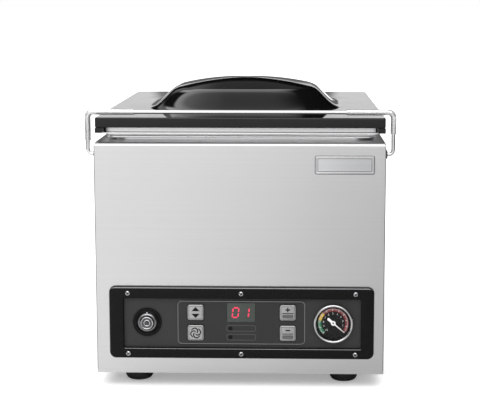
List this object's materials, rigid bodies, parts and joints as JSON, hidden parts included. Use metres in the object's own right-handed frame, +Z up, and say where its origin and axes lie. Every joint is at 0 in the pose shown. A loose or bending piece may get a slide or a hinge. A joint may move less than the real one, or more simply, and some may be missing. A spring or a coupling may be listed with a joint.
{
  "type": "vacuum chamber sealer",
  "caption": "Table-top vacuum chamber sealer with a steel body, smoked domed lid on a rear hinge, swing-over rod latch, seal bar and a front control panel with vacuum gauge.",
  "frame": {"origin": "on the floor under the middle of the steel body", "axes": "+Z up, front of the machine towards -Y, +X to the right of someone who stands in front of it"},
  "size_m": [0.3552, 0.4626, 0.3454],
  "materials": {
    "brushed_steel": "brushed",
    "polished_steel": "polished",
    "chrome": "polished",
    "aluminium": "satin",
    "key_metal": "satin",
    "brass": "satin",
    "smoked_acrylic": "gloss",
    "black_plastic": "fine texture",
    "panel_film": "matte",
    "display": "gloss",
    "rubber": "matte",
    "silicone": "satin",
    "clear_glass": "gloss",
    "white_plastic": "matte",
    "dial": "matte",
    "needle_white": "matte",
    "motor_grey": "satin",
    "circuit_board": "matte"
  },
  "bodies": {
    "body": {"badge_plate": "aluminium", "bail_bushing_left": "black_plastic", "bail_bushing_right": "black_plastic", "base_plate": "brushed_steel", "body_shell": "brushed_steel", "chamber_tub": "polished_steel", "control_board": "circuit_board", "control_plate": "panel_film", "display_window": "display", "filler_plate": "white_plastic", "foot_back_left": "rubber", "foot_back_right": "rubber", "foot_front_left": "rubber", "foot_front_right": "rubber", "gauge_bezel": "chrome", "gauge_case": "polished_steel", "gauge_dial": "dial", "gauge_glass": "clear_glass", "hinge_block_left": "black_plastic", "hinge_block_right": "black_plastic", "hinge_spring_left": "polished_steel", "hinge_spring_right": "polished_steel", "keypad_overlay": "panel_film", "lift_cylinder_left": "aluminium", "lift_cylinder_right": "aluminium", "panel_bezel": "black_plastic", "panel_screw_low_left": "chrome", "panel_screw_low_middle": "chrome", "panel_screw_low_right": "chrome", "panel_screw_top_left": "chrome", "panel_screw_top_middle": "chrome", "panel_screw_top_right": "chrome", "power_collar": "black_plastic", "power_inlet": "black_plastic", "power_ring": "chrome", "pump_head": "aluminium", "pump_motor": "motor_grey", "rear_panel": "brushed_steel", "transformer": "motor_grey", "vacuum_hose": "rubber"},
    "lid": {"lid_plate": "smoked_acrylic", "lid_frame": "brushed_steel", "lid_gasket": "silicone", "pressure_bar": "silicone", "lid_trim_left": "black_plastic", "lid_trim_right": "black_plastic", "hinge_arm_left": "polished_steel", "hinge_arm_right": "polished_steel", "hinge_shaft": "polished_steel"},
    "bail": {"bail_rod": "chrome", "bail_sleeve_left": "silicone", "bail_sleeve_right": "silicone"},
    "seal_bar": {"seal_bar": "aluminium", "heating_strip": "brass"},
    "power_button": {"power_button": "polished_steel"},
    "select_key": {"key_select": "key_metal"},
    "cycle_key": {"key_cycle": "key_metal"},
    "plus_key": {"key_plus": "key_metal"},
    "minus_key": {"key_minus": "key_metal"},
    "needle": {"gauge_needle": "needle_white"}
  },
  "joints": [
    {"name": "lid_hinge", "type": "hinge", "parent": "body", "child": "lid", "pos_m": [0, 0.188, 0.296], "axis": [-1, 0, 0], "range_deg": [0, 60]},
    {"name": "bail_swing", "type": "hinge", "parent": "body", "child": "bail", "pos_m": [0, -0.205, 0.2686], "axis": [1, 0, 0], "range_deg": [-12, 148]},
    {"name": "seal_bar_lift", "type": "slide", "parent": "body", "child": "seal_bar", "axis": [0, 0, 1], "range_m": [0, 0.0055]},
    {"name": "power_button_press", "type": "slide", "parent": "body", "child": "power_button", "axis": [0, 1, 0], "range_m": [0, 0.0025], "stiffness_N_per_m": 1200},
    {"name": "select_key_press", "type": "slide", "parent": "body", "child": "select_key", "axis": [0, 1, 0], "range_m": [0, 0.0008], "stiffness_N_per_m": 1500},
    {"name": "cycle_key_press", "type": "slide", "parent": "body", "child": "cycle_key", "axis": [0, 1, 0], "range_m": [0, 0.0008], "stiffness_N_per_m": 1500},
    {"name": "plus_key_press", "type": "slide", "parent": "body", "child": "plus_key", "axis": [0, 1, 0], "range_m": [0, 0.0008], "stiffness_N_per_m": 1500},
    {"name": "minus_key_press", "type": "slide", "parent": "body", "child": "minus_key", "axis": [0, 1, 0], "range_m": [0, 0.0008], "stiffness_N_per_m": 1500},
    {"name": "gauge_needle_turn", "type": "hinge", "parent": "body", "child": "needle", "pos_m": [0.1068, -0.2282, 0.077], "axis": [0, -1, 0], "range_deg": [0, 262]}
  ]
}
